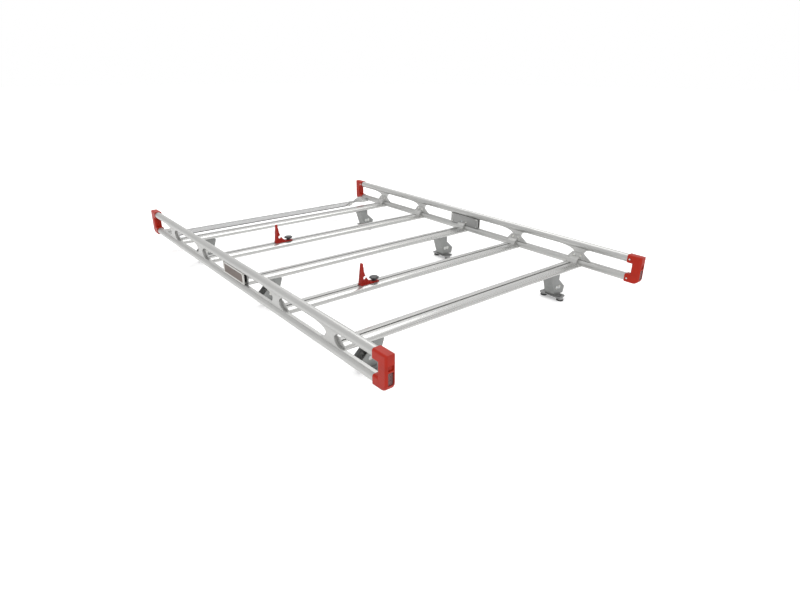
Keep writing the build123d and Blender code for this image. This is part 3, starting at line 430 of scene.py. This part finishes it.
def make_clamp_knob(node, body):
    """Lobed hand knob: a waisted stem under a domed head with soft finger flutes."""
    low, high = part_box(node)
    centre = (low + high) / 2
    radius = (high.x - low.x) / 2
    height = high.z - low.z
    disc = KNOB_DISC
    bore = 0.00405
    stem = 0.0118
    profile = [(bore, 0), (stem, 0), (stem, 0.002), (stem - 0.0015, 0.004), (stem - 0.0010, 0.008),
               (stem + 0.0030, disc - 0.0006), (radius - 0.003, disc), (radius, disc + 0.0028),
               (radius, height - 0.0042), (radius - 0.0030, height - 0.0008), (radius - 0.0070, height),
               (radius * 0.50, height - 0.0004), (radius * 0.44, height - 0.0018),
               (radius * 0.20, height - 0.0022), (0.0003, height - 0.0022),
               (0.0003, KNOB_BORE_DEPTH), (bore, KNOB_BORE_DEPTH)]

    def flutes(value, angle, index):
        share = max(0.0, min(1.0, (value - 0.0145) / (radius - 0.0145)))
        wave = (0.5 + 0.5 * math.cos(KNOB_LOBES * angle)) ** 1.6
        return value - 0.0032 * share * wave
    mesh = bmesh.new()
    place = Matrix.Translation((centre.x, centre.y, low.z))
    lathe(mesh, rounded(profile, 0.0012, 3), place, KNOB_LOBES * 16, flutes)
    finish_piece(f"{node}_lobed", mesh, body, "knob_black", [node])


for end in ("rear", "front"):
    make_clamp_knob(f"{end}_clamp_knob", f"{end}_knob")


# ---------------------------------------------------------------- reflectors
PRISM_PITCH = 0.0038
PRISM_RISE = 0.0007
LENS_CORNER = 0.0038
LENS_RIM = 0.0022


def make_reflector(node):
    """Lens with a flat rim round a field of small pyramids that face the rear."""
    low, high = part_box(node)
    half = Vector(((high.x - low.x) / 2, (high.z - low.z) / 2))
    middle = (low + high) / 2
    columns = round(2 * (half.x - LENS_RIM) / PRISM_PITCH)
    rows = round(2 * (half.y - LENS_RIM) / PRISM_PITCH)

    def ladder(reach, steps):
        inner = reach - LENS_RIM
        return [-reach] + [inner * (2 * k / steps - 1) for k in range(steps + 1)] + [reach]
    across, upward = ladder(half.x, columns), ladder(half.y, rows)
    mesh = bmesh.new()
    face_y = low.y + PRISM_RISE
    grid = []
    for z in upward:
        line = []
        for x in across:
            corner = Vector((abs(x) - half.x + LENS_CORNER, abs(z) - half.y + LENS_CORNER))
            if corner.x > 0 and corner.y > 0 and corner.length > LENS_CORNER:
                pull = corner * (1 - LENS_CORNER / corner.length)
                x -= math.copysign(pull.x, x)
                z_here = z - math.copysign(pull.y, z)
            else:
                z_here = z
            line.append(mesh.verts.new((middle.x + x, face_y, middle.z + z_here)))
        grid.append(line)
    prisms = []
    for r in range(len(upward) - 1):
        for c in range(len(across) - 1):
            face = mesh.faces.new((grid[r][c], grid[r][c + 1], grid[r + 1][c + 1], grid[r + 1][c]))
            if 0 < r < len(upward) - 2 and 0 < c < len(across) - 2:
                prisms.append(face)
    rim = [edge for edge in mesh.edges if edge.is_boundary]
    made = bmesh.ops.extrude_edge_only(mesh, edges=rim)["geom"]
    for vertex in [v for v in made if isinstance(v, bmesh.types.BMVert)]:
        vertex.co.y = high.y
    bmesh.ops.contextual_create(mesh, geom=[e for e in mesh.edges if e.is_boundary])
    bmesh.ops.recalc_face_normals(mesh, faces=mesh.faces)
    bmesh.ops.poke(mesh, faces=prisms, offset=PRISM_RISE)
    finish_piece(f"{node}_prisms", mesh, "root", "reflector_red", [node], 12.0)


for side_name in ("left", "right"):
    make_reflector(f"{side_name}_reflector")


# ---------------------------------------------------------------- washers and welds
WASHER_REACH = 0.0105
NARROW_WASHER_REACH = 0.0077    # fits the holes in the nameplates' backs
WASHER_BORE = 0.0055
WASHER_THICKNESS = 0.0014
BOLT_HEAD = 0.0044              # height of a bolt's head over its bearing face


def axis_place(point, direction):
    """Matrix that stands the local Z axis on point, along direction."""
    return Matrix.Translation(point) @ Vector(direction).to_track_quat("Z", "Y").to_matrix().to_4x4()


def make_washers(node, name, axis, towards, reach=WASHER_REACH):
    """Chamfered washers round the bolt heads of a node; towards gives each head's direction."""
    edge = 0.0004
    profile = [(WASHER_BORE, 0), (reach, 0), (reach, WASHER_THICKNESS - edge),
               (reach - edge, WASHER_THICKNESS), (WASHER_BORE, WASHER_THICKNESS)]
    mesh = bmesh.new()
    for low, high in solids(node):
        centre = (low + high) / 2
        sign = towards(centre)
        direction = [0.0, 0.0, 0.0]
        direction[axis] = sign
        point = centre.copy()
        point[axis] = (high if sign > 0 else low)[axis] - sign * BOLT_HEAD
        lathe(mesh, profile, axis_place(point, direction), 40)
    finish_piece(name, mesh, "root", "bright_steel")


foot_rows = [sum(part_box(f"{row}_left_foot_base")[k].y for k in (0, 1)) / 2
             for row in ("rear", "middle", "front")]
make_washers("foot_height_bolts", "foot_washers", 1,
             lambda c: math.copysign(1, c.y - min(foot_rows, key=lambda y: abs(y - c.y))))
make_washers("crossbar_bolts", "crossbar_washers", 2, lambda c: -1)
make_washers("fitting_web_bolts", "fitting_washers", 0, lambda c: -math.copysign(1, c.x),
             NARROW_WASHER_REACH)


def add_weld(mesh, start, end, radius, pitch=0.0022):
    """Rippled weld bead from start to end, half sunk in the corner it fills."""
    start, end = Vector(start), Vector(end)
    run = end - start
    place = axis_place(start, run)
    ripples = max(3, round(run.length / pitch))
    steps = ripples * 4
    sides = 10
    rings = []
    for step in range(steps + 1):
        along = run.length * step / steps
        taper = min(1.0, 0.35 + 3.0 * min(step, steps - step) / steps * ripples / 3)
        swell = radius * taper * (0.84 + 0.16 * abs(math.cos(math.pi * ripples * step / steps)))
        rings.append([mesh.verts.new(place @ Vector((swell * math.cos(2 * math.pi * k / sides),
                                                     swell * math.sin(2 * math.pi * k / sides),
                                                     along))) for k in range(sides)])
    for here, there in zip(rings, rings[1:]):
        for k in range(sides):
            after = (k + 1) % sides
            mesh.faces.new((here[k], here[after], there[after], there[k]))
    mesh.faces.new(rings[0])
    mesh.faces.new(rings[-1])


# The load stop is a leaning face plate, a foot block and a fin between them.
STOP_BEAD = 0.0020
FOOT_BEAD = 0.0028
STOP_PLATE = 0.006
STOP_LEAN = 0.014 / 0.116
STOP_FIN_HALF = 0.0045
STOP_BLOCK_TOP = 0.013
STOP_FIN_TOP = 0.096
STOP_FIN_REACH = 0.056

for end in ("rear", "front"):
    low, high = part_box(f"{end}_load_stop")
    middle_y = (low.y + high.y) / 2
    beads = bmesh.new()
    for side in (-1, 1):
        y = middle_y + side * STOP_FIN_HALF
        inner_x = low.x + STOP_PLATE
        add_weld(beads, (inner_x + STOP_LEAN * STOP_BLOCK_TOP, y, low.z + STOP_BLOCK_TOP + 0.003),
                 (inner_x + STOP_LEAN * STOP_FIN_TOP, y, low.z + STOP_FIN_TOP), STOP_BEAD)
        add_weld(beads, (inner_x + 0.005, y, low.z + STOP_BLOCK_TOP),
                 (low.x + STOP_FIN_REACH, y, low.z + STOP_BLOCK_TOP), STOP_BEAD)
    finish_piece(f"{end}_stop_welds", beads, f"{end}_stop", "stop_red", smooth_angle=60.0)

FOOT_PLATE = 0.005
FOOT_EAR_HALF = 0.017
FOOT_WALL_AND_EAR = 0.010   # the bracket's side wall and the ear inside it
foot_welds = bmesh.new()
for row in ("rear", "middle", "front"):
    for side_name in ("left", "right"):
        low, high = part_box(f"{row}_{side_name}_foot_base")
        wall_low, wall_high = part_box(f"{row}_{side_name}_foot_bracket")
        centre_x, centre_y = (low.x + high.x) / 2, (low.y + high.y) / 2
        ear_inner = (wall_high.y - wall_low.y) / 2 - FOOT_WALL_AND_EAR
        for end in (-1, 1):
            y = centre_y + end * ear_inner
            add_weld(foot_welds, (centre_x - FOOT_EAR_HALF, y, low.z + FOOT_PLATE),
                     (centre_x + FOOT_EAR_HALF, y, low.z + FOOT_PLATE), FOOT_BEAD)
finish_piece("foot_base_welds", foot_welds, "root", "foot_base_steel", smooth_angle=60.0)


# ---------------------------------------------------------------- floor and light
FLOOR_REACH = 30.0
FLOOR_COLOR = (0.90, 0.90, 0.90)
FLOOR_GLOW = 0.22           # keeps the paper near white, with faint shadows left on it
WORLD_STRENGTH = 1.0
floor_mesh = bmesh.new()
bmesh.ops.create_circle(floor_mesh, cap_ends=True, segments=96, radius=FLOOR_REACH)
floor_data = bpy.data.meshes.new("floor")
floor_mesh.to_mesh(floor_data)
floor_mesh.free()
floor = bpy.data.objects.new("floor", floor_data)
bpy.context.scene.collection.objects.link(floor)
floor_material, _, floor_shader = new_material("floor_paper", FLOOR_COLOR, 0.0, 0.9)
floor_shader.inputs["Emission Color"].default_value = (1.0, 1.0, 1.0, 1.0)
floor_shader.inputs["Emission Strength"].default_value = FLOOR_GLOW
floor.data.materials.append(floor_material)


def add_area_light(name, place, target, size, power):
    """Square soft light at place, facing target."""
    data = bpy.data.lights.new(name, "AREA")
    data.shape = "SQUARE"
    data.size = size
    data.energy = power
    light = bpy.data.objects.new(name, data)
    aim = Vector(target) - Vector(place)
    light.matrix_world = Matrix.Translation(place) @ aim.to_track_quat("-Z", "Y").to_matrix().to_4x4()
    bpy.context.scene.collection.objects.link(light)


add_area_light("key_light", (-2.2, -2.6, 5.2), (0, 0, 0), 3.0, 95.0)
add_area_light("top_light", (1.6, 2.4, 5.0), (0, 0, 0), 3.5, 120.0)
world = bpy.data.worlds.new("studio")
world.use_nodes = True
world.node_tree.nodes["Background"].inputs["Color"].default_value = (1.0, 1.0, 1.0, 1.0)
world.node_tree.nodes["Background"].inputs["Strength"].default_value = WORLD_STRENGTH
bpy.context.scene.world = world
bpy.context.scene.view_settings.view_transform = "Standard"
